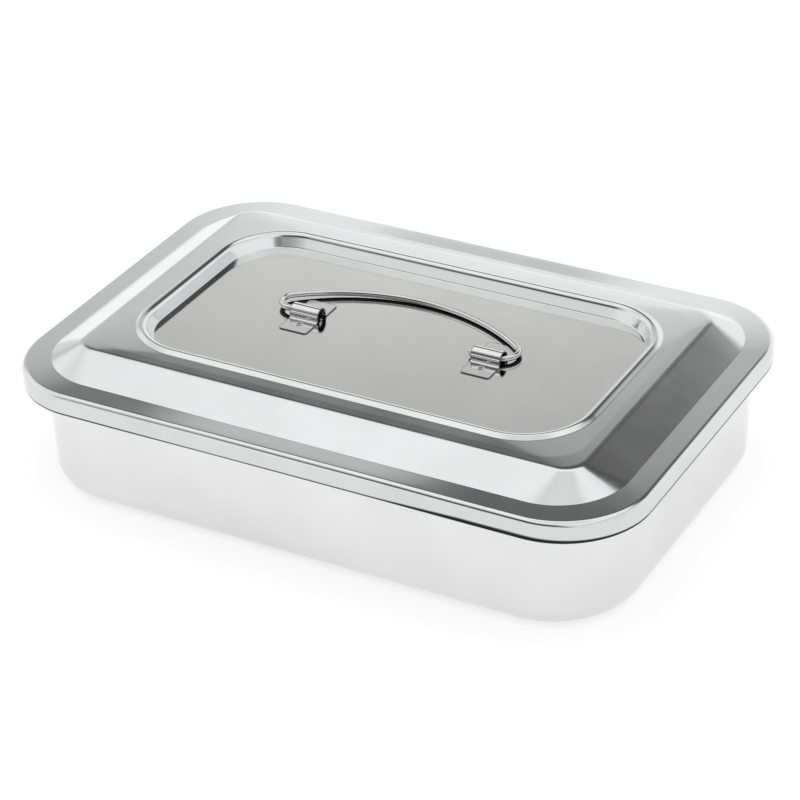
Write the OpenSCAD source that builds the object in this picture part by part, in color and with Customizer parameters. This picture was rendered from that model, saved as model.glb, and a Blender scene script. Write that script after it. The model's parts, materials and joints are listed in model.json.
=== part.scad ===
// Instrument tray: a deep drawn stainless steel pan with a loose pressed lid.
// Two bent sheet saddles, spot welded in the lid's sunken panel, carry a
// folding wire handle. Origin: centre of the pan's underside. X runs along
// the long side, the handle lies back towards +Y, Z is up. Millimetres.

/* [Sheet] */
// Thickness of the pan and lid sheet
sheet_t = 0.5; // [0.4:0.05:0.6]
// Thickness of the saddles' strip
strip_t = 0.4; // [0.4:0.05:0.6]

/* [Pan] */
// Height of the pan, from its underside to the top of its curled rim
pan_h = 48; // [35:1:70]
// Gap all round between the lid's flange outline and the pan's wall
pan_inset = 3.5; // [3.5:0.1:5]
// Plan radius of the pan's corners at the rim
pan_corner_r = 33.5; // [28:0.5:38]
// Inward lean of the pan's wall between its rim and its bottom bend
pan_draft = 1; // [0.5:0.1:2]
// Outside radius of the bend between wall and bottom
pan_bend_r = 8; // [4:0.5:10]
// Outside radius of the curled rim
curl_r = 2; // [1.6:0.1:2]

/* [Lid] */
// Length of the lid's flange outline, where the skirt bends down
lid_l = 240; // [220:5:320]
// Width of the lid's flange outline, where the skirt bends down
lid_w = 160; // [158:1:240]
// Plan radius of the flange outline's corners
lid_corner_r = 30; // [28:1:36]
// Outside radius of the bend between flange and skirt
skirt_bend_r = 1.9; // [1.9:0.1:2.4]
// Height of the skirt below the flange outline
skirt_drop = 8; // [6:0.1:9]
// Outside radius of the hem, turned in along the skirt's lower edge
hem_r = 0.75; // [0.7:0.05:0.75]
// Plan width of the flange, from the bend to the foot of the flank
flange_run = 7.5; // [6:0.5:8]
// Rise of the flange over its width
flange_rise = 0.35; // [0.2:0.05:0.8]
// Plan width of the sloping flank
flank_run = 13.5; // [12:0.1:14]
// Rise of the flank
flank_rise = 6.2; // [4:0.1:8]
// Plan width of the crowned border inside the flank's top edge
crown_run = 4.7; // [3.5:0.1:5]
// Rise of the crowned border
crown_rise = 0.4; // [0.3:0.1:1]

/* [Lid recess] */
// Length over the raised bead round the recess
recess_l = 181; // [150:0.5:182]
// Width over the raised bead round the recess
recess_w = 101.8; // [90:0.1:102]
// Plan radius of the bead's outer foot at the corners
recess_r = 27; // [20:1:34]
// Depth of the panel below the crowned border
recess_depth = 4.2; // [3:0.1:6]
// Plan width from the bead's outer foot to the foot of the recess's wall
recess_run = 5.9; // [5.6:0.1:6.3]
// Rise of the bead above the crowned border
bead_rise = 1.1; // [0.8:0.1:1.3]
// Outside radius of the bead's rounded top
bead_r = 2.2; // [1.6:0.1:2.4]
// Slope of the bead's outer side, in degrees
bead_slope = 34; // [30:1:40]

/* [Saddles] */
// Distance from the lid's centre to the middle of each saddle
saddle_x = 36.9; // [34:0.1:38]
// Width of each saddle along the pivot
saddle_w = 11.6; // [11:0.1:12]
// Length of each saddle from wing tip to wing tip
saddle_len = 23.2; // [21:0.1:25]
// Inside radius of the saddle's barrel
barrel_r = 2.65; // [2.6:0.05:2.9]
// Height of the barrel's centre, and so of the pivot, above the panel
barrel_up = 1.8; // [1.8:0.1:2.2]
// Radius of the fillet where the barrel meets the wings
fillet_r = 0.9; // [0.6:0.1:1.2]
// Corner radius of the wing tips
wing_corner_r = 1.2; // [0.8:0.1:2]
// Radius of each spot weld
weld_r = 0.9; // [0.7:0.05:1]
// Height of each spot weld, a little below the top face of the wing
weld_h = 0.35; // [0.25:0.05:0.35]
// Distance of each spot weld from the middle of its saddle
weld_y = 6.4; // [6.2:0.1:8]

/* [Handle] */
// Radius of the handle's wire
wire_r = 1.15; // [1:0.05:1.25]
// Half the handle's width, to the middle of its wire
bail_half_w = 47.8; // [47:0.1:49]
// Reach from the pivot to the middle of the bow
bail_reach = 25.7; // [24.5:0.1:26]
// Radius of the bow's long curve
bow_r = 74; // [72:0.5:76]
// Radius of the bow's two shoulders
shoulder_r = 5.2; // [4.5:0.1:6]
// Length of wire inside each saddle when the handle is centred
stub_in = 11.1; // [8:0.1:11.5]
// Sideways rest position of the loose handle within its play
bail_shift = -2.5; // [-2.5:0.1:2.5]

/* [Hidden] */
$fn = 96;
// Facets round the handle's wire
wire_fn = 32;
// Chords in each face of the bead's rounded top
bead_chords = 10;
// Distance that a cutter runs past the face it cuts
over = 0.1;
// Air gap between the pan's rim and the lid's underside
seat_gap = 0.1;
// Angle by which the handle's bow runs on into each shoulder
lap_angle = 0.04;
// Amount by which the bow's wire is thinner than its shoulders'
lap_step = 0.01;

// The curl continues the inner face of the wall
curl_out = curl_r - sheet_t;
pan_l = lid_l - 2 * pan_inset;
pan_w = lid_w - 2 * pan_inset;
floor_in = pan_draft + pan_bend_r;

// Heights of the lid's steps, measured on its top face
flange_slope = flange_rise / flange_run;
flange_z = pan_h + seat_gap + sheet_t - flange_slope * (pan_inset - curl_out);
border_in = flange_run + flank_run + crown_run;
border_z = flange_z + flange_rise + flank_rise + crown_rise;
panel_z = border_z - recess_depth;

// The bead's centre of curvature, measured from its outer foot. The recess's
// wall runs up from the panel and meets the bead on a tangent.
bead_run = bead_r * sin(bead_slope) + (bead_rise - bead_r * (1 - cos(bead_slope))) / tan(bead_slope);
bead_centre = [-bead_run, bead_rise - bead_r];
wall_foot = [-recess_run, -recess_depth];
foot_to_bead = bead_centre - wall_foot;
wall_slope = atan2(foot_to_bead.y, foot_to_bead.x) + asin(bead_r / norm(foot_to_bead));

// The bow and a shoulder touch on the line through their centres
shoulder_x = bail_half_w - shoulder_r;
join_angle = acos(shoulder_x / (bow_r - shoulder_r));
pivot_z = panel_z + barrel_up;
bow_y = bail_reach - bow_r;
shoulder_y = bow_y + (bow_r - shoulder_r) * sin(join_angle);
eye_r = shoulder_y;
eye_x = bail_half_w - eye_r;
stub_len = eye_x - (saddle_x + saddle_w / 2 - stub_in);

// Carries a section once round a rounded rectangle. In the section, x is the
// distance outside the rectangle's outline and y is the height.
module sweep_round(l, w, r) {
    quadrants = [[1, 1], [-1, 1], [-1, -1], [1, -1]];
    for (i = [0:3]) {
        translate([quadrants[i].x * (l / 2 - r), quadrants[i].y * (w / 2 - r), 0])
            rotate([0, 0, 90 * i])
                rotate_extrude(angle = 90) translate([r, 0]) children();
    }
    for (i = [0:3]) {
        reach = (i % 2 == 0 ? l : w) / 2;
        run = (i % 2 == 0 ? w : l) - 2 * r;
        rotate([0, 0, 90 * i]) rotate([90, 0, 0])
            linear_extrude(height = run, center = true) translate([reach, 0]) children();
    }
}

// Flat plate with rounded corners, standing on z = 0
module plate(l, w, r, t) {
    sweep_round(l, w, r) translate([-r, 0]) square([r, t]);
    translate([r - l / 2, r - w / 2, 0]) cube([l - 2 * r, w - 2 * r, t]);
}

// Flat ring of sheet around the origin of a section
module ring(outer_r, t) {
    difference() {
        circle(outer_r);
        circle(outer_r - t);
    }
}

// One quarter of that ring; turn counts quarter turns from the +x, +y one
module quarter_ring(outer_r, t, turn) {
    intersection() {
        ring(outer_r, t);
        rotate(90 * turn) square(outer_r + over);
    }
}

// Wall, bottom bend and curled rim of the pan
module pan_section() {
    polygon([
        [0, pan_h - curl_r],
        [-sheet_t, pan_h - curl_r],
        [-pan_draft - sheet_t, pan_bend_r],
        [-pan_draft, pan_bend_r]
    ]);
    translate([-floor_in, pan_bend_r]) quarter_ring(pan_bend_r, sheet_t, 3);
    translate([curl_out, pan_h - curl_r])
        for (turn = [0, 1, 3]) quarter_ring(curl_r, sheet_t, turn);
}

module pan() {
    color("gainsboro") {
        sweep_round(pan_l, pan_w, pan_corner_r) pan_section();
        plate(pan_l - 2 * floor_in, pan_w - 2 * floor_in, pan_corner_r - floor_in, sheet_t);
    }
}

// Skirt, flange, flank and crowned border of the lid
module lid_section() {
    top = [
        [0, 0],
        [-flange_run, flange_rise],
        [-flange_run - flank_run, flange_rise + flank_rise],
        [-border_in, border_z - flange_z]
    ];
    polygon(concat(top, [for (i = [3:-1:0]) top[i] - [0, sheet_t]]));
    translate([0, -skirt_bend_r]) quarter_ring(skirt_bend_r, sheet_t, 0);
    translate([skirt_bend_r - sheet_t, hem_r - skirt_drop])
        square([sheet_t, skirt_drop - hem_r - skirt_bend_r]);
    translate([skirt_bend_r - hem_r, hem_r - skirt_drop])
        for (turn = [2, 3]) quarter_ring(hem_r, sheet_t, turn);
}

// Points of the bead's rounded top at a radius, from its outer to its inner side
function bead_arc(r) = [
    for (i = [0:bead_chords])
        let (a = 90 - bead_slope + (bead_slope + wall_slope) * i / bead_chords)
            bead_centre + r * [cos(a), sin(a)]
];

// Raised bead and steep wall of the lid's recess
module recess_section() {
    under_arc = bead_arc(bead_r - sheet_t);
    polygon(concat(
        [[0, 0]],
        bead_arc(bead_r),
        [wall_foot, wall_foot - [0, sheet_t], wall_foot + sheet_t * [tan(wall_slope / 2), -1]],
        [for (i = [bead_chords:-1:0]) under_arc[i]],
        [[0, -sheet_t]]
    ));
}

module lid_shell() {
    color("lightgray") {
        translate([0, 0, flange_z]) sweep_round(lid_l, lid_w, lid_corner_r) lid_section();
        translate([0, 0, border_z - sheet_t]) difference() {
            plate(lid_l - 2 * border_in, lid_w - 2 * border_in, lid_corner_r - border_in, sheet_t);
            translate([0, 0, -over]) plate(recess_l, recess_w, recess_r, sheet_t + 2 * over);
        }
        translate([0, 0, border_z]) sweep_round(recess_l, recess_w, recess_r) recess_section();
        translate([0, 0, panel_z - sheet_t])
            plate(recess_l - 2 * recess_run, recess_w - 2 * recess_run, recess_r - recess_run, sheet_t);
    }
}

// Repeats its children at the two spot welds of a saddle
module at_welds() {
    for (side = [-1, 1]) translate([0, side * weld_y, 0]) children();
}

// Section of the barrel: x runs across the saddle, y is the height
module barrel_section() {
    outer_r = barrel_r + strip_t;
    difference() {
        union() {
            translate([0, barrel_up]) circle(outer_r);
            translate([-outer_r, 0]) square([2 * outer_r, barrel_up]);
        }
        translate([0, barrel_up]) circle(barrel_r);
        translate([-barrel_r, -outer_r]) square([2 * barrel_r, barrel_up + outer_r]);
    }
    for (side = [0, 1]) mirror([side, 0]) translate([outer_r, strip_t]) difference() {
        square(fillet_r);
        translate([fillet_r, fillet_r]) circle(fillet_r);
    }
}

// One strip bent over the wire, with a flat wing before and behind
module saddle() {
    rotate([90, 0, 90]) linear_extrude(height = saddle_w, center = true) barrel_section();
    difference() {
        plate(saddle_w, saddle_len, wing_corner_r, strip_t);
        translate([-saddle_w, -barrel_r, -over])
            cube([2 * saddle_w, 2 * barrel_r, strip_t + 2 * over]);
        at_welds() translate([0, 0, -over]) cylinder(r = weld_r, h = strip_t + 2 * over);
    }
}

module left_saddle() {
    color("silver") translate([-saddle_x, 0, panel_z]) saddle();
}

module right_saddle() {
    color("silver") translate([saddle_x, 0, panel_z]) saddle();
}

module spot_welds() {
    color("darkgray") for (side = [-1, 1]) translate([side * saddle_x, 0, panel_z])
        at_welds() cylinder(r = weld_r, h = weld_h);
}

// Arc of wire about the origin, starting on the x axis
module wire_arc(r, wire, angle) {
    rotate_extrude(angle = angle) translate([r, 0]) circle(wire, $fn = wire_fn);
}

// Stub, eye and shoulder at each end, joined by the bow. The bow's wire is a
// hair thinner and its ends lie just inside the shoulders.
module bail_handle() {
    bow_start = join_angle - lap_angle;
    color("silver") translate([bail_shift, 0, pivot_z]) {
        for (side = [0, 1]) mirror([side, 0, 0]) translate([shoulder_x, shoulder_y, 0]) {
            wire_arc(shoulder_r, wire_r, join_angle);
            translate([shoulder_r - eye_r, 0, 0]) {
                wire_arc(eye_r, wire_r, -90);
                translate([-stub_len, -eye_r, 0]) rotate([0, 90, 0])
                    cylinder(r = wire_r, h = stub_len, $fn = wire_fn);
            }
        }
        translate([0, bow_y, 0]) rotate([0, 0, bow_start])
            wire_arc(bow_r, wire_r - lap_step, 180 - 2 * bow_start);
    }
}

pan();
lid_shell();
left_saddle();
right_saddle();
spot_welds();
bail_handle();
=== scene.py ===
"""Instrument tray: sheet shells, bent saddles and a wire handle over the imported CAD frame. Metres, Z up."""
import json
import math

import bmesh
import bpy
from mathutils import Matrix, Vector


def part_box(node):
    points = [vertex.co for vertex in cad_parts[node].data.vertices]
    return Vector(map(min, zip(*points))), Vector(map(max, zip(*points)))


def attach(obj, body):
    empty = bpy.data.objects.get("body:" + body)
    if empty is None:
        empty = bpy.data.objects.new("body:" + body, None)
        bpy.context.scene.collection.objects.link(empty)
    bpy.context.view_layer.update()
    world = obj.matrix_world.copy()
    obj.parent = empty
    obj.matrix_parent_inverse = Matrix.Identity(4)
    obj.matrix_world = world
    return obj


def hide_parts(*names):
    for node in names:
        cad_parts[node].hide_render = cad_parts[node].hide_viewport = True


MM = 0.001
SHEET = 0.5 * MM  # pan and lid sheet
STRIP = 0.4 * MM  # saddle strip

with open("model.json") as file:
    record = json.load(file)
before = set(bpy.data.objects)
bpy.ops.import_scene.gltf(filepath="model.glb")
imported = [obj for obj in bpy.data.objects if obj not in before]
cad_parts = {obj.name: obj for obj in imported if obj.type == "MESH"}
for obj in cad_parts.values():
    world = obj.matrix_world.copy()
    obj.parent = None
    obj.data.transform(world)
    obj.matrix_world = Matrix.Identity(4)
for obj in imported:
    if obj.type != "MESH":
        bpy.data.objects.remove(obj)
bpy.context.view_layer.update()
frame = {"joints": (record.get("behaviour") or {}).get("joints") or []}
joints = {j["name"]: j for j in frame["joints"]}


# ---------------------------------------------------------------- node helpers
def link(tree, source, target):
    tree.links.new(source, target)


def add(tree, kind, **values):
    """Adds a node; keys are its properties, or its inputs by name with _ for a space."""
    node = tree.nodes.new(kind)
    for key, value in values.items():
        socket = node.inputs.get(key.replace("_", " "))
        if hasattr(node, key):
            setattr(node, key, value)
        elif socket is not None:
            socket.default_value = value
        else:
            raise KeyError(f"{kind} has no {key}")
    return node


def calc(tree, operation, a, b=None, c=None):
    """One Math node; each operand is a number or a socket."""
    node = add(tree, "ShaderNodeMath", operation=operation)
    for i, operand in enumerate((a, b, c)):
        if operand is None:
            continue
        if isinstance(operand, (int, float)):
            node.inputs[i].default_value = operand
        else:
            link(tree, operand, node.inputs[i])
    return node.outputs[0]


def spread(tree, socket, low, high, to_low, to_high):
    """Maps a value from low..high onto to_low..to_high, clamped."""
    node = add(tree, "ShaderNodeMapRange")
    for i, value in enumerate((low, high, to_low, to_high)):
        node.inputs[i + 1].default_value = value
    link(tree, socket, node.inputs[0])
    return node.outputs[0]


def object_coords(tree):
    return add(tree, "ShaderNodeTexCoord").outputs["Object"]


def loft_coords(tree):
    """Metres round the piece and along its section."""
    return add(tree, "ShaderNodeUVMap", uv_map="loft").outputs["UV"]


def noise(tree, coords, per_m, detail=2.0, rough=0.5):
    """Noise with its own number of cycles per metre along each axis."""
    mapping = add(tree, "ShaderNodeMapping", vector_type="POINT")
    mapping.inputs["Scale"].default_value = per_m
    link(tree, coords, mapping.inputs["Vector"])
    node = add(tree, "ShaderNodeTexNoise", Scale=1.0, Detail=detail, Roughness=rough)
    link(tree, mapping.outputs[0], node.inputs["Vector"])
    return node.outputs["Fac"]


def ramp(tree, value, stops, top=1.0):
    """A curve through (position from 0 to 1, level) stops."""
    node = add(tree, "ShaderNodeValToRGB")
    points = node.color_ramp.elements
    while len(points) < len(stops):
        points.new(0.5)
    for point, (position, level) in zip(points, stops):
        point.position = position
        point.color = (level / top,) * 3 + (1.0,)
    link(tree, value, node.inputs[0])
    return calc(tree, "MULTIPLY", node.outputs[0], top)


def specks(tree, coords, per_m, size):
    """1 on sparse small round specks, 0 elsewhere."""
    node = add(tree, "ShaderNodeTexVoronoi", Scale=per_m, Randomness=1.0)
    link(tree, coords, node.inputs["Vector"])
    return spread(tree, node.outputs["Distance"], size, size * 0.5, 0.0, 1.0)


# ---------------------------------------------------------------- materials
HEM_LINE = (0.95 * MM, 1.15 * MM)  # width of the painted shadow line along the hem, at the left and at the right
HEM_BULGE = 0.75 * MM  # how much wider it is towards the right end of the front side
BULGE_AT = 0.66  # the bulge's middle, as a share of the lid's half length
# colour of the painted shadow line along the hem
HEM_SHADOW_COLOUR = (0.02, 0.02, 0.02)
# tint multiplied into the upright skirt: painted shade
SKIRT_SHADE_TINT = (0.80, 0.80, 0.80)
STREAK_HEIGHT = 2.2e-6  # of the skirt's fine upright marks
# colour of the painted shade under the wire
PAINTED_UNDER_SHADE = (0.03, 0.03, 0.03)
# Painted shade on the wire by how far its surface faces up, from 0 straight down to 1 straight up
UNDERSIDE_SHADE_STOPS = [(0.28, 1), (0.45, 0), (0.6, 0), (0.65, 0.7), (0.74, 0.7), (0.8, 0)]


def mix(tree, factor, base, other, blend="MIX"):
    """A colour turned towards a fixed one, or multiplied by it, by a factor from 0 to 1."""
    node = add(tree, "ShaderNodeMix", data_type="RGBA", blend_type=blend)
    node.inputs["B"].default_value = other + (1.0,)
    link(tree, base, node.inputs["A"])
    link(tree, factor, node.inputs["Factor"])
    return node.outputs["Result"]


def height_um(tree, fac, um):
    return calc(tree, "MULTIPLY", fac, um * 1e-6)


def cloudy_tint(tree, cloud, tint):
    """The steel's tint, a little darker and lighter in large soft patches."""
    colour = add(tree, "ShaderNodeMix", data_type="RGBA")
    colour.inputs["A"].default_value = tuple(0.965 * c for c in tint) + (1.0,)
    colour.inputs["B"].default_value = tuple(1.02 * c for c in tint) + (1.0,)
    link(tree, spread(tree, cloud, 0.35, 0.65, 0.0, 1.0), colour.inputs["Factor"])
    return colour.outputs["Result"]


def hem_shade_and_marks(tree, shown, height):
    """On the lid's skirt: painted shade that darkens the skirt, a painted shadow line along the hem where the
    gap beneath the skirt lies, and fine upright marks.
    """
    parts = add(tree, "ShaderNodeSeparateXYZ")
    link(tree, object_coords(tree), parts.inputs[0])
    x, y, z = parts.outputs
    above = calc(tree, "SUBTRACT", z, skirt_low)
    from_bulge = calc(tree, "ABSOLUTE", calc(tree, "SUBTRACT", x, BULGE_AT * half_l))
    bulge = spread(tree, from_bulge, 0.1 * half_l, 0.36 * half_l, 1.0, 0.0)
    front = spread(tree, y, -0.55 * half_w, -0.75 * half_w, 0.0, 1.0)
    width = spread(tree, x, -0.6 * half_l, 0.5 * half_l, *HEM_LINE)
    width = calc(tree, "MULTIPLY_ADD", calc(tree, "MULTIPLY", bulge, front), HEM_BULGE, width)
    line = spread(tree, calc(tree, "DIVIDE", above, width), 0.85, 1.2, 1.0, 0.0)
    skirt = spread(tree, above, 6.5 * MM, 7.3 * MM, 1.0, 0.0)
    streaks = noise(tree, loft_coords(tree), (700, 40, 1), 3.0, 0.6)
    streaks = calc(tree, "MULTIPLY", calc(tree, "MULTIPLY", streaks, skirt), STREAK_HEIGHT)
    shown = mix(tree, skirt, shown, SKIRT_SHADE_TINT, "MULTIPLY")
    return mix(tree, line, shown, HEM_SHADOW_COLOUR), calc(tree, "ADD", height, streaks)


def under_shade(tree, shown):
    """A painted dark reflection line along the wire's front and painted shade on its underside."""
    facing = add(tree, "ShaderNodeSeparateXYZ")
    link(tree, add(tree, "ShaderNodeNewGeometry").outputs["Normal"], facing.inputs[0])
    up = spread(tree, facing.outputs[2], -1.0, 1.0, 0.0, 1.0)
    return mix(tree, ramp(tree, up, UNDERSIDE_SHADE_STOPS), shown, PAINTED_UNDER_SHADE)


def steel(name, tint, rough, wave_um, marks=(), speck_um=0.0, roam=0.03, hem=False, under=False):
    """Bare steel. wave_um is the sheet's slow waviness, marks are (cycles per metre, height in um) of fine
    marks, speck_um is the height of sparse specks, and roam is how far the roughness strays."""
    mat = bpy.data.materials.new(name)
    mat.use_nodes = True
    tree = mat.node_tree
    shader = tree.nodes["Principled BSDF"]
    shader.inputs["Metallic"].default_value = 1.0
    place = object_coords(tree)

    cloud = noise(tree, place, (34, 34, 34), 3.0)
    worn = noise(tree, place, (900, 900, 900), 2.0)
    shown = cloudy_tint(tree, cloud, tint)
    value = spread(tree, cloud, 0.3, 0.7, rough - roam, rough + roam)
    value = calc(tree, "ADD", value, spread(tree, worn, 0.3, 0.8, -0.4 * roam, 0.4 * roam))
    height = height_um(tree, noise(tree, place, (16, 16, 16), 1.0), wave_um)
    for per_m, um in marks:
        height = calc(tree, "ADD", height, height_um(tree, noise(tree, place, per_m, 3.0, 0.6), um))
    if speck_um:
        dots = specks(tree, place, 130.0, 0.03)
        value = calc(tree, "MAXIMUM", value, calc(tree, "MULTIPLY", dots, 0.3))
        height = calc(tree, "ADD", height, height_um(tree, dots, speck_um))
    # hem: a painted shadow line along the lid's hem and painted shade on its skirt
    if hem:
        shown, height = hem_shade_and_marks(tree, shown, height)
    # under: painted shade on the wire's underside and a painted dark reflection along its front
    if under:
        shown = under_shade(tree, shown)
    link(tree, shown, shader.inputs["Base Color"])
    link(tree, value, shader.inputs["Roughness"])
    bump = add(tree, "ShaderNodeBump", Strength=1.0, Distance=1.0)
    link(tree, height, bump.inputs["Height"])
    link(tree, bump.outputs[0], shader.inputs["Normal"])
    return mat


# ---------------------------------------------------------------- lofted sheet
class Loop:
    """A rounded rectangle at one height: half length, half width, corner radius, height."""

    def __init__(self, half_l, half_w, r, z, bend=0.0, slot=0):
        self.v = Vector((half_l, half_w, r, z))
        self.bend = bend
        self.slot = slot

    @property
    def reach(self):
        return Vector(((self.v[0] + self.v[1]) / 2, self.v[3]))


def at(v, slot=0):
    return Loop(v[0], v[1], v[2], v[3], 0.0, slot)


def rounded(keys, steps=7, lead=0.25 * MM):
    """Rounds each bend of a section into an arc, with guard loops beside it that keep the flats flat."""
    out = [keys[0]]
    for before, key, after in zip(keys, keys[1:], keys[2:]):
        into, away = key.reach - before.reach, after.reach - key.reach
        turn = into.angle(away, 0.0)
        if key.bend <= 0 or turn < 1e-4:
            out.append(key)
            continue
        back = min(key.bend * math.tan(turn / 2), 0.72 * into.length, 0.72 * away.length)
        start = key.v + (before.v - key.v) * (back / into.length)
        end = key.v + (after.v - key.v) * (back / away.length)
        guard = min(lead, 0.3 * (0.5 * into.length - back))
        if guard > 0.02 * MM:
            out.append(at(start + (before.v - key.v) * (guard / into.length), before.slot))
        weight = math.cos(turn / 2)
        count = max(3, round(steps * turn / 0.8)) if turn < 2 else 12
        for i in range(count + 1):
            t = i / count
            a, b, c = (1 - t) ** 2, 2 * t * (1 - t) * weight, t * t
            out.append(at((start * a + key.v * b + end * c) / (a + b + c), key.slot))
        guard = min(lead, 0.3 * (0.5 * away.length - back))
        if guard > 0.02 * MM:
            out.append(at(end + (after.v - key.v) * (guard / away.length), key.slot))
    out.append(keys[-1])
    return out


def split(loops, longest):
    """Puts loops between those that stand further apart than longest."""
    out = [loops[0]]
    for a, b in zip(loops, loops[1:]):
        count = max(1, math.ceil((b.reach - a.reach).length / longest))
        out += [at(a.v.lerp(b.v, i / count), a.slot) for i in range(1, count)]
        out.append(Loop(*b.v, 0.0, a.slot if b.bend == 0 and b.slot == 0 else b.slot))
    return out


def inner_face(loops, thickness, side):
    """The other face of the sheet: each loop moved by the thickness along the section's normal."""
    out = []
    for i, loop in enumerate(loops):
        a, b = loops[max(i - 1, 0)].reach, loops[min(i + 1, len(loops) - 1)].reach
        if 0 < i < len(loops) - 1:
            one, two = (loop.reach - a).normalized(), (b - loop.reach).normalized()
            along = (one + two).normalized()
            stretch = 1 / max(0.5, along.dot(one))
        else:
            along, stretch = (b - a).normalized(), 1.0
        move = Vector((-along.y, along.x)) * side * thickness * stretch
        v = loop.v
        out.append(Loop(v[0] - move.x, v[1] - move.x, max(v[2] - move.x, 0.05 * MM), v[3] - move.y,
                        0.0, loop.slot))
    return out


def outline(loop, arc=24, long_cuts=20, short_cuts=12):
    """Points once round a loop, with the distance from the start for each, from the middle of the +X side."""
    half_l, half_w, r, z = loop.v
    r = min(r, half_l, half_w)
    points = []
    cuts = (short_cuts, long_cuts, short_cuts, long_cuts)
    for quarter in range(4):
        centre = Vector(((half_l - r) * (1, -1, -1, 1)[quarter], (half_w - r) * (1, 1, -1, -1)[quarter]))
        for i in range(arc + 1):
            angle = math.radians(90) * (quarter + i / arc)
            points.append(centre + r * Vector((math.cos(angle), math.sin(angle))))
        following = (quarter + 1) % 4
        start = points[-1]
        corner = Vector(((half_l - r) * (1, -1, -1, 1)[following], (half_w - r) * (1, 1, -1, -1)[following]))
        turn = math.radians(90) * following
        end = corner + r * Vector((math.cos(turn), math.sin(turn)))
        run = cuts[following]
        points += [start.lerp(end, i / run) for i in range(1, run)]
    return points


def sheet_piece(name, loops, thickness, side, shape=None, middle_slot=0, edge=4):
    """A closed sheet: outer face, rounded free edge and inner face of a section carried round."""
    inner = inner_face(loops, thickness, side)
    last, other = loops[-1], inner[-1]
    tip = (last.v + other.v) / 2
    ahead = (loops[-1].reach - loops[-2].reach).normalized() * thickness / 2
    ends = []
    for i in range(1, edge):
        angle = math.pi * i / edge
        v = tip + (last.v - tip) * math.cos(angle)
        push = ahead * math.sin(angle)
        ends.append(Loop(v[0] + push.x, v[1] + push.x, v[2] + push.x, v[3] + push.y, 0.0, last.slot))
    rings = loops + ends + inner[::-1]
    verts, uvs, along = [], [], 0.0
    for k, ring in enumerate(rings):
        flat = outline(ring)
        if k:
            along += (ring.reach - rings[k - 1].reach).length
        total = 0.0
        for i, p in enumerate(flat):
            if i:
                total += (p - flat[i - 1]).length
            x, y, z = p.x, p.y, ring.v[3]
            if shape:
                x, y, z = shape(x, y, z, ring)
            verts.append((x, y, z))
            uvs.append((total, along))
    count = len(outline(rings[0]))
    faces, slots = [], []
    for k in range(len(rings) - 1):
        for i in range(count):
            j = (i + 1) % count
            quad = (k * count + i, k * count + j, (k + 1) * count + j, (k + 1) * count + i)
            faces.append(quad if side < 0 else quad[::-1])
            slots.append(rings[k].slot)
    first = tuple(range(count))
    final = tuple(range((len(rings) - 1) * count, len(rings) * count))
    faces += [first[::-1] if side < 0 else first, final if side < 0 else final[::-1]]
    slots += [middle_slot, middle_slot]
    return mesh_piece(name, verts, faces, slots, uvs)


def mesh_piece(name, verts, faces, slots=None, uvs=None):
    mesh = bpy.data.meshes.new(name)
    mesh.from_pydata(verts, [], faces)
    if slots:
        mesh.polygons.foreach_set("material_index", slots)
    if uvs:
        layer = mesh.uv_layers.new(name="loft")
        for corner in mesh.loops:
            layer.data[corner.index].uv = uvs[corner.vertex_index]
    mesh.polygons.foreach_set("use_smooth", [True] * len(mesh.polygons))
    outward = bmesh.new()
    outward.from_mesh(mesh)
    bmesh.ops.recalc_face_normals(outward, faces=outward.faces)
    outward.to_mesh(mesh)
    outward.free()
    piece = bpy.data.objects.new(name, mesh)
    bpy.context.scene.collection.objects.link(piece)
    return piece


def dress(piece, body, slot, nodes, *materials):
    for mat in materials:
        piece.data.materials.append(mat)
    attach(piece, body)
    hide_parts(*nodes)
    return piece


# ---------------------------------------------------------------- sizes taken from the frame
lid_lo, lid_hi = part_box("lid_shell")
pan_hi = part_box("pan")[1]
saddle_boxes = {side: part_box(side) for side in ("left_saddle", "right_saddle")}
wire_lo, wire_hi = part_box("bail_handle")
pivot = Vector(joints["handle_fold"]["pos_m"])
SKIRT_OUT = 1.9 * MM  # from the flange outline to the skirt's outer face
BEAD_RISE = 1.1 * MM  # from the border to the crest of the bead
BORDER_RISE = 6.95 * MM  # from the flange outline to the border
half_l, half_w = lid_hi.x - SKIRT_OUT, lid_hi.y - SKIRT_OUT
border_z = lid_hi.z - BEAD_RISE
flange_z = border_z - BORDER_RISE
panel_z = saddle_boxes["left_saddle"][0].z
skirt_low = lid_lo.z
skirt_drop = flange_z - skirt_low


# ---------------------------------------------------------------- lid
FLANGE_RUN = 7.5 * MM
FLANK_TOP = 21 * MM  # inset of the flank's top edge
FLANGE_LIFT = 0.22 * MM  # of the flange outline along the middle of each long side
FLANK_DIP = 0.23 * MM  # of the flank's foot there
FOOT_L, FOOT_W, FOOT_R = half_l - 29.5 * MM, half_w - 29.1 * MM, 27 * MM  # outer foot of the bead


def lid_loop(inset, z, r, bend=0.0, slot=0):
    """Inset from the flange outline, height above it, corner radius, radius of the bend."""
    return Loop(half_l - inset, half_w - inset, r, flange_z + z, bend, slot)


def bead_loop(inward, z, bend=0.0, slot=0):
    """Distance inside the bead's outer foot, height above the floor, radius of the bend."""
    return Loop(FOOT_L - inward, FOOT_W - inward, FOOT_R - inward, z, bend, slot)


def lid_shape(x, y, z, ring):
    """The flange lies flatter along the middle of each long side."""
    inset = half_w - ring.v[1]
    middle = min(1.0, max(0.0, (0.62 - abs(x) / half_l) / 0.4))
    middle *= middle * (3 - 2 * middle)
    long_side = min(1.0, max(0.0, (abs(y) - 0.6 * half_w) / (0.3 * half_w)))
    if inset < FLANGE_RUN:
        lift = FLANGE_LIFT - 0.06 * max(inset, 0.0)
    else:
        lift = -FLANK_DIP * max(0.0, (FLANK_TOP - inset) / (FLANK_TOP - FLANGE_RUN))
    return x, y, z + lift * middle * long_side


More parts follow.
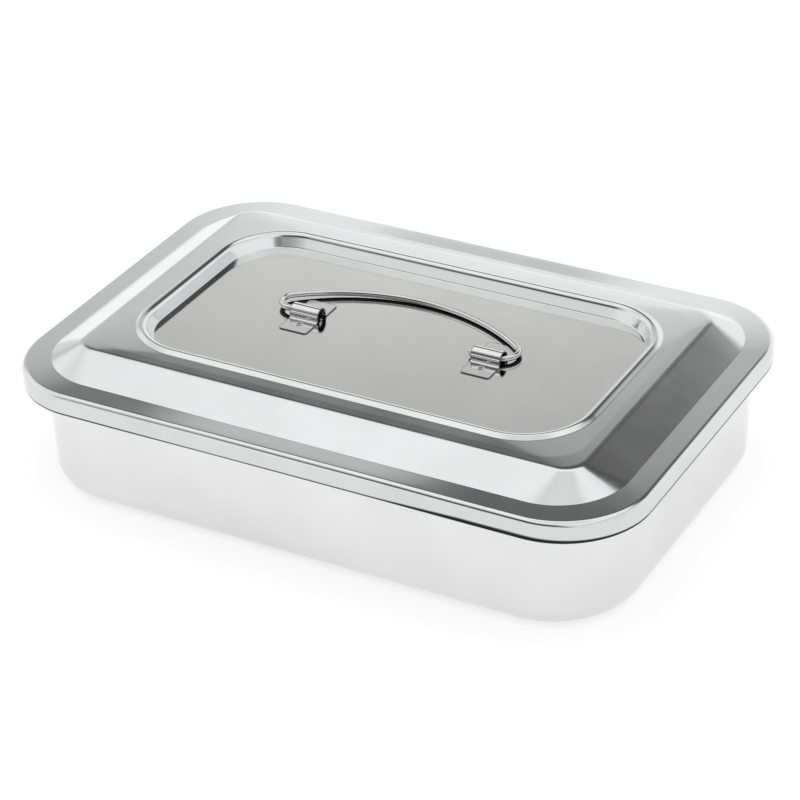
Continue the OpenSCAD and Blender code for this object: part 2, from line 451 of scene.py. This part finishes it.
def build_lid():
    """Panel, recess wall, bead, border, flank, flange, skirt and hem as one closed sheet."""
    loops = split(rounded([
        bead_loop(15 * MM, panel_z, slot=1),
        bead_loop(5.9 * MM, panel_z, 0.5 * MM),
        bead_loop(3.33 * MM, border_z + 2.24 * MM, 2.2 * MM),
        bead_loop(0.0, border_z, 0.3 * MM),
        lid_loop(25 * MM, 6.77 * MM, 14 * MM, 30 * MM),
        lid_loop(FLANK_TOP, 6.55 * MM, 7 * MM, 5 * MM),
        lid_loop(FLANGE_RUN, 0.35 * MM, 26 * MM, 0.35 * MM),
        lid_loop(-SKIRT_OUT, -0.09 * MM, 31.9 * MM, 1.9 * MM),
        lid_loop(-SKIRT_OUT, -skirt_drop, 31.9 * MM, 0.74 * MM),
        lid_loop(-0.4 * MM, -skirt_drop, 30.4 * MM, 0.74 * MM),
        lid_loop(-0.4 * MM, 3.1 * MM - skirt_drop, 30.4 * MM),
    ]), 2.5 * MM)
    piece = sheet_piece("lid_sheet", loops, SHEET, 1, lid_shape, middle_slot=1)
    return dress(piece, "lid", "lid_steel", ["lid_shell"], lid_steel, panel_steel)


# ---------------------------------------------------------------- pan
RIM_OUT = 3.5 * MM  # from the pan's wall to the outside of its curled rim
RIM_BEND = 1.48 * MM


def pan_loop(out, z, bend=0.0):
    """Distance outside the wall's top edge, height above the floor, radius of the bend."""
    wall_l, wall_w, wall_r = pan_hi.x - RIM_OUT, pan_hi.y - RIM_OUT, 33.5 * MM
    return Loop(wall_l + out, wall_w + out, wall_r + out, z, bend)


def build_pan():
    """Bottom, wall and curled rim as one closed sheet."""
    rim_top, rim_low, rim_side = pan_hi.z - SHEET, pan_hi.z - SHEET - 3 * MM, 3 * MM
    loops = split(rounded([
        pan_loop(-30 * MM, 0.0),
        pan_loop(-1.21 * MM, 0.0, 8 * MM),
        pan_loop(0.0, rim_top, RIM_BEND),
        pan_loop(rim_side, rim_top, RIM_BEND),
        pan_loop(rim_side, rim_low, RIM_BEND),
        pan_loop(rim_side / 2, rim_low),
    ], steps=10), 4 * MM)
    piece = sheet_piece("pan_sheet", loops, SHEET, -1)
    return dress(piece, "tray", "pan_steel", ["pan"], pan_steel)


# ---------------------------------------------------------------- saddles
def arc_points(centre, r, start, end, count):
    return [centre + r * Vector((math.cos(a), math.sin(a)))
            for a in (start + (end - start) * i / count for i in range(count + 1))]


BARREL_R = 2.65 * MM  # inside radius
BARREL_UP = 1.8 * MM  # height of the barrel's centre above the panel
FILLET = 0.9 * MM
WING_CORNER = 1.2 * MM
RIM = 0.2 * MM  # width of the dark line along the strip's cut edges: a duller cut edge with painted shade where the strip meets the panel
INNER_Y = BARREL_R + STRIP + FILLET  # where each wing begins
WELD_Y = 6.4 * MM
DISH_R, DISH_DEPTH, DISH_EDGE = 0.85, 0.22 * MM, 9  # of the dish at each weld; its radius is in mm
EDGE_BEVEL = 0.07 * MM
COLUMNS = [-1, -0.965, -0.94, -0.9, -0.85, -0.79, -0.6, -0.4, -0.25, -0.15, -0.05]
COLUMNS += [-c for c in COLUMNS[::-1]]  # across the saddle, as shares of its half width


def saddle_profile(half_len):
    """Middle line of the strip across the saddle: (y, height), from wing tip to wing tip."""
    mid_r, low = BARREL_R + STRIP / 2, STRIP / 2
    bend = FILLET + STRIP / 2
    right = arc_points(Vector((mid_r + bend, low + bend)), bend, -math.pi / 2, -math.pi, 7)
    top = arc_points(Vector((0, BARREL_UP)), mid_r, 0, math.pi, 22)
    left = [Vector((-p.x, p.y)) for p in right[::-1]]
    inner = half_len - RIM
    wing = [Vector((half_len, low))]
    wing += [Vector((inner + (mid_r + bend - inner) * i / 15, low)) for i in range(15)]
    return wing + right + top + left + [Vector((-p.x, p.y)) for p in wing[::-1]]


def strip_point(profile, i, x, face, half_x, half_y):
    """(y, height) on the strip's top (face 1) or underside (-1), with rounded wing tips and dished welds."""
    a, b = profile[max(i - 1, 0)], profile[min(i + 1, len(profile) - 1)]
    along = (b - a).normalized()
    y, z = profile[i] + Vector((along.y, -along.x)) * (STRIP / 2) * face
    if abs(y) > INNER_Y:
        edge = max(0.0, WING_CORNER - (half_x - abs(x)))
        cut = WING_CORNER - math.sqrt(max(WING_CORNER ** 2 - edge ** 2, 0.0))
        share = (abs(y) - INNER_Y) / (half_y - INNER_Y)
        y = math.copysign(INNER_Y + share * (half_y - cut - INNER_Y), y)
    if face > 0:
        off = Vector((x, abs(y) - WELD_Y)).length / MM
        z -= DISH_DEPTH / (1 + math.exp((off - DISH_R) * DISH_EDGE))
    return y, z


def strip_faces(width, rows):
    """Faces of the strip, and 1 for those at its cut edges, which are duller and darkened with painted shade.
    """
    faces, slots = [], []
    layer = width * rows
    for face in (0, 1):
        for c in range(width - 1):
            for i in range(rows - 1):
                a = face * layer + c * rows + i
                quad = (a, a + rows, a + rows + 1, a + 1)
                faces.append(quad[::-1] if face else quad)
                at_rim = c in (0, width - 2) or i in (0, rows - 2)
                slots.append(int(face == 0 and at_rim))
    for c in range(width - 1):
        a, b = c * rows, c * rows + rows - 1
        faces.append((a, a + layer, a + rows + layer, a + rows))
        faces.append((b, b + rows, b + rows + layer, b + layer))
    for i in range(rows - 1):
        a, b = i, (width - 1) * rows + i
        faces.append((a, a + 1, a + 1 + layer, a + layer))
        faces.append((b, b + layer, b + 1 + layer, b + 1))
    return faces, slots + [1] * (len(faces) - len(slots))


def build_saddle(name, node):
    lo, hi = saddle_boxes[node]
    centre = Vector(((lo.x + hi.x) / 2, (lo.y + hi.y) / 2, lo.z))
    half_x, half_y = (hi.x - lo.x) / 2, (hi.y - lo.y) / 2
    profile = saddle_profile(half_y)
    verts = []
    for face in (1, -1):
        for column in COLUMNS:
            x = column * half_x
            for i in range(len(profile)):
                y, z = strip_point(profile, i, x, face, half_x, half_y)
                verts.append((centre.x + x, centre.y + y, centre.z + z))
    faces, slots = strip_faces(len(COLUMNS), len(profile))
    piece = mesh_piece(name, verts, faces, slots)
    bevel = piece.modifiers.new("edges", "BEVEL")
    bevel.width, bevel.segments = EDGE_BEVEL, 2
    bevel.limit_method, bevel.angle_limit = "ANGLE", math.radians(50)
    bevel.harden_normals = False
    return dress(piece, "lid", "saddle_steel", [node], saddle_steel, cut_edge_and_shade_steel)


def build_welds():
    """Four low dished weld spots in the saddles' wings."""
    verts, faces = [], []
    radii_mm = (0.9, 0.82, 0.6, 0.3)
    heights_mm = (0.13, 0.24, 0.2, 0.17)
    around = 20
    for lo, hi in saddle_boxes.values():
        for side in (-1, 1):
            centre = Vector(((lo.x + hi.x) / 2, (lo.y + hi.y) / 2 + side * WELD_Y, lo.z))
            base = len(verts)
            for r, z in zip(radii_mm, heights_mm):
                for i in range(around):
                    a = 2 * math.pi * i / around
                    verts.append(centre + Vector((r * math.cos(a), r * math.sin(a), z)) * MM)
            for k in range(len(radii_mm) - 1):
                for i in range(around):
                    j = (i + 1) % around
                    p, q = base + k * around, base + (k + 1) * around
                    faces.append((p + i, p + j, q + j, q + i))
            faces.append(tuple(base + 3 * around + i for i in range(around)))
            faces.append(tuple(base + around - 1 - i for i in range(around)))
    piece = mesh_piece("weld_marks", [tuple(v) for v in verts], faces)
    return dress(piece, "lid", "weld_steel", ["spot_welds"], weld_steel)


# ---------------------------------------------------------------- handle
STUB_IN = 11.1 * MM  # wire inside each saddle when the handle is centred
BOW_R = 74 * MM
SHOULDER_R = 5.2 * MM
WIRE_TILT = 0.004  # the loose handle's left end rests a little higher than its right one
WIRE_DIP = 0.031  # its bow dips to just above the panel
WIRE_UP = 0.28 * MM  # its ends lie this much above the pivot, clear of the right saddle's wing
WIRE_AROUND = 28
CAP = [(0.0, 0.8), (0.12, 0.93), (0.3, 1.0)]  # distance from the wire's end in mm, share of its radius


def handle_path():
    """Middle line of the wire at rest, from stub end to stub end."""
    wire_r = (wire_hi.z - wire_lo.z) / 2
    half = (wire_hi.x - wire_lo.x) / 2 - wire_r
    shift = (wire_hi.x + wire_lo.x) / 2
    shoulder_x = half - SHOULDER_R
    join = math.acos(shoulder_x / (BOW_R - SHOULDER_R))
    bow_y = wire_hi.y - wire_r - BOW_R
    shoulder_y = bow_y + (BOW_R - SHOULDER_R) * math.sin(join)
    eye_r = shoulder_y - pivot.y
    stub_end = saddle_boxes["right_saddle"][1].x - STUB_IN
    right = [Vector((stub_end + i / 4 * (half - eye_r - stub_end), pivot.y)) for i in range(4)]
    right += arc_points(Vector((half - eye_r, shoulder_y)), eye_r, -math.pi / 2, 0, 16)[:-1]
    right += arc_points(Vector((shoulder_x, shoulder_y)), SHOULDER_R, 0, join, 18)[:-1]
    bow = arc_points(Vector((0, bow_y)), BOW_R, join, math.pi / 2, 40)
    left = [Vector((-p.x, p.y)) for p in (right + bow)[-2::-1]]

    def resting(p):
        x = p.x + shift
        return Vector((x, p.y, pivot.z + WIRE_UP - WIRE_TILT * x - WIRE_DIP * (p.y - pivot.y)))

    return [resting(p) for p in right + bow + left], wire_r


def build_handle():
    line, wire_r = handle_path()
    up = Vector((0, 0, 1))
    rings = []
    for i in range(1, len(line) - 1):
        rings.append((line[i], (line[i + 1] - line[i - 1]).normalized(), wire_r))
    start, end = (line[1] - line[0]).normalized(), (line[-1] - line[-2]).normalized()
    rings = ([(line[0] + start * push * MM, start, wire_r * scale) for push, scale in CAP] + rings
             + [(line[-1] - end * push * MM, end, wire_r * scale) for push, scale in CAP[::-1]])
    verts, faces = [], []
    for p, along, r in rings:
        side = along.cross(up).normalized()
        for i in range(WIRE_AROUND):
            a = 2 * math.pi * i / WIRE_AROUND
            verts.append(tuple(p + (side * math.cos(a) + up * math.sin(a)) * r))
    for k in range(len(rings) - 1):
        near, far = k * WIRE_AROUND, (k + 1) * WIRE_AROUND
        for i in range(WIRE_AROUND):
            j = (i + 1) % WIRE_AROUND
            faces.append((near + i, near + j, far + j, far + i))
    faces.append(tuple(range(WIRE_AROUND))[::-1])
    faces.append(tuple(range((len(rings) - 1) * WIRE_AROUND, len(rings) * WIRE_AROUND)))
    piece = mesh_piece("handle_wire", verts, faces)
    return dress(piece, "handle", "wire_steel", ["bail_handle"], wire_steel)


# ---------------------------------------------------------------- floor, light, camera
FLOOR_GLOW = 0.60
FLOOR_HALF = 6.0
FLOOR_GAP = 0.02 * MM  # below the pan, so that their faces don't coincide


def build_floor():
    mat = bpy.data.materials.new("floor_white")
    mat.use_nodes = True
    tree = mat.node_tree
    shader = tree.nodes["Principled BSDF"]
    shader.inputs["Roughness"].default_value = 0.9
    shader.inputs["Specular IOR Level"].default_value = 0.0
    grain = noise(tree, object_coords(tree), (400, 400, 400), 2.0)
    tone = spread(tree, grain, 0.3, 0.7, 0.495, 0.505)
    colour = add(tree, "ShaderNodeCombineColor")
    for i in range(3):
        link(tree, tone, colour.inputs[i])
    link(tree, colour.outputs[0], shader.inputs["Base Color"])
    shader.inputs["Emission Color"].default_value = (1, 1, 1, 1)
    shader.inputs["Emission Strength"].default_value = FLOOR_GLOW
    corners = [(x * FLOOR_HALF, y * FLOOR_HALF, 0) for x, y in ((-1, -1), (1, -1), (1, 1), (-1, 1))]
    floor = mesh_piece("floor", corners, [(0, 1, 2, 3)])
    floor.location.z = -FLOOR_GAP
    floor.data.materials.append(mat)


# Brightness against elevation in degrees: the roof, the two dark belts, the open side and the dim left
HIGH = [(52, 1.0), (63, 1.04), (70, 1.0), (74, 0.88), (77, 0.8), (90, 0.85)]
BELT = [(33, 0.5), (34.3, 0.4), (35.6, 0.17), (38, 0.13), (40.5, 0.09), (42, 0.08), (45, 0.1), (49, 0.13)]
BELT += HIGH
LEFT_BELT = [(31.5, 0.48), (33, 0.24), (35, 0.14), (38.5, 0.1), (45, 0.1), (49, 0.13)] + HIGH
OPEN = [(32, 0.96), (36, 0.88), (45, 0.84), (52, 0.92)] + HIGH[1:]
DIM = [(0, 0.82), (7, 0.8), (13, 0.64), (20, 0.62), (27, 0.6)]
# The sky's parts: (share at each azimuth in degrees from +Y towards +X, brightness at each elevation).
# In order: behind the tray, behind and to its left, left, the open sides, and in front.
SKY = [
    ([(-40, 0), (-38, 0.15), (-34, 0.6), (-30, 1), (26, 1), (36, 0.2), (108, 0.2), (125, 0)],
     [(0, 0.98), (22, 1.0), (24.8, 0.98), (26, 0.88), (28.4, 0.76), (30.2, 0.62), (31.6, 0.55)] + BELT),
    ([(-54, 0), (-47, 1), (-40, 1), (-38, 0.85), (-34, 0.4), (-30, 0)], DIM + [(30, 0.55)] + LEFT_BELT),
    ([(-68, 0), (-62, 1), (-54, 1), (-47, 0)], DIM[:-1] + [(27, 0.64)] + OPEN),
    ([(-152, 0), (-138, 0.6), (-126, 1), (-68, 1), (-62, 0), (26, 0), (36, 0.8), (108, 0.8), (125, 1),
      (148, 1), (162, 0)], [(0, 0.95)] + OPEN),
    ([(-180, 1), (-152, 1), (-138, 0.4), (-126, 0), (148, 0), (162, 1), (180, 1)],
     [(0, 0.98), (10, 0.95), (16, 0.3), (22, 0.07), (42, 0.08), (50, 0.45), (55, 0.95)] + HIGH[1:]),
]
SKY_TOP = 1.1  # no brightness is above this
SPOT = (150, 12)  # azimuth and elevation of the dark spot where the lens stands
SPOT_LEVEL = 0.3
SPOT_OUTER, SPOT_INNER = 11, 5  # degrees from its middle where it begins and where it is darkest


def toward(azimuth, elevation):
    a, e = math.radians(azimuth), math.radians(elevation)
    return Vector((math.sin(a) * math.cos(e), math.cos(a) * math.cos(e), math.sin(e)))


def build_sky():
    """A soft white tent with a dark belt before and behind, and a dark spot where the lens stands."""
    world = bpy.data.worlds.new("studio")
    bpy.context.scene.world = world
    world.use_nodes = True
    tree = world.node_tree
    direction = add(tree, "ShaderNodeTexCoord").outputs["Generated"]
    parts = add(tree, "ShaderNodeSeparateXYZ")
    link(tree, direction, parts.inputs[0])
    x, y, z = parts.outputs
    elevation = calc(tree, "MULTIPLY", calc(tree, "ARCSINE", z), 2 / math.pi)
    azimuth = calc(tree, "MULTIPLY_ADD", calc(tree, "ARCTAN2", x, y), 0.5 / math.pi, 0.5)
    level = 0.0
    for shares, levels in SKY:
        share = ramp(tree, azimuth, [(a / 360 + 0.5, value) for a, value in shares])
        part = ramp(tree, elevation, [(e / 90, value) for e, value in levels], SKY_TOP)
        level = calc(tree, "MULTIPLY_ADD", share, part, level)
    near = add(tree, "ShaderNodeVectorMath", operation="DOT_PRODUCT")
    link(tree, direction, near.inputs[0])
    near.inputs[1].default_value = toward(*SPOT)
    outer, inner = (math.cos(math.radians(a)) for a in (SPOT_OUTER, SPOT_INNER))
    spot = spread(tree, near.outputs["Value"], outer, inner, 1.0, SPOT_LEVEL)
    level = calc(tree, "MULTIPLY", level, spot)
    link(tree, level, tree.nodes["Background"].inputs["Color"])


def build_lights():
    """One soft lamp overhead, unseen in the steel."""
    data = bpy.data.lights.new("soft_overhead", "AREA")
    data.shape, data.size, data.size_y = "RECTANGLE", 2.4, 2.4
    data.energy = 14
    lamp = bpy.data.objects.new("soft_overhead", data)
    lamp.location = (0.1, -0.2, 1.9)
    lamp.visible_glossy = False
    bpy.context.scene.collection.objects.link(lamp)


VIEW = (29.83, 30.93, -2.32)  # azimuth from -Y towards +X, elevation and roll, in degrees
EYE = (0.43039, -0.75028, 0.54394)


def build_camera():
    data = bpy.data.cameras.new("view")
    data.sensor_width, data.lens = 36.0, 125.15
    data.clip_start, data.clip_end = 0.05, 50
    cam = bpy.data.objects.new("view", data)
    azimuth, elevation, roll = (math.radians(a) for a in VIEW)
    back = Vector((math.sin(azimuth) * math.cos(elevation), -math.cos(azimuth) * math.cos(elevation),
                   math.sin(elevation)))
    right = Vector((math.cos(azimuth), math.sin(azimuth), 0))
    up = back.cross(right)
    turned = right * math.cos(roll) + up * math.sin(roll)
    upright = up * math.cos(roll) - right * math.sin(roll)
    pose = Matrix((turned, upright, back)).transposed().to_4x4()
    pose.translation = Vector(EYE)
    cam.matrix_world = pose
    bpy.context.scene.collection.objects.link(cam)
    bpy.context.scene.camera = cam


lid_steel = steel("lid_steel", (0.80, 0.805, 0.81), 0.12, 18, [((260, 60, 260), 0.25)], speck_um=1.5,
                  hem=True)
panel_steel = steel("panel_steel", (0.79, 0.79, 0.785), 0.09, 6, [((1500, 120, 900), 0.15)], roam=0.02)
pan_steel = steel("pan_steel", (0.745, 0.745, 0.75), 0.17, 25, [((200, 45, 200), 0.3)], speck_um=1.5)
saddle_steel = steel("saddle_steel", (0.80, 0.80, 0.80), 0.13, 3, [((900, 200, 900), 0.9)])
# dark cut edges: a rough sheared edge, with painted shade where the strip meets the panel
cut_edge_and_shade_steel = steel("cut_edge_and_shade_steel", (0.16, 0.16, 0.16), 0.4, 1, [((1800, 1800, 300), 2)])
weld_steel = steel("weld_steel", (0.30, 0.29, 0.28), 0.5, 2, [((2500, 2500, 2500), 6)])
wire_steel = steel("wire_steel", (0.74, 0.74, 0.74), 0.06, 2, [((120, 1500, 1500), 0.3)], under=True)

build_lid()
build_pan()
build_saddle("left_saddle_strip", "left_saddle")
build_saddle("right_saddle_strip", "right_saddle")
build_welds()
build_handle()
build_floor()
build_sky()
build_lights()
build_camera()
bpy.context.scene.view_settings.view_transform = "Standard"
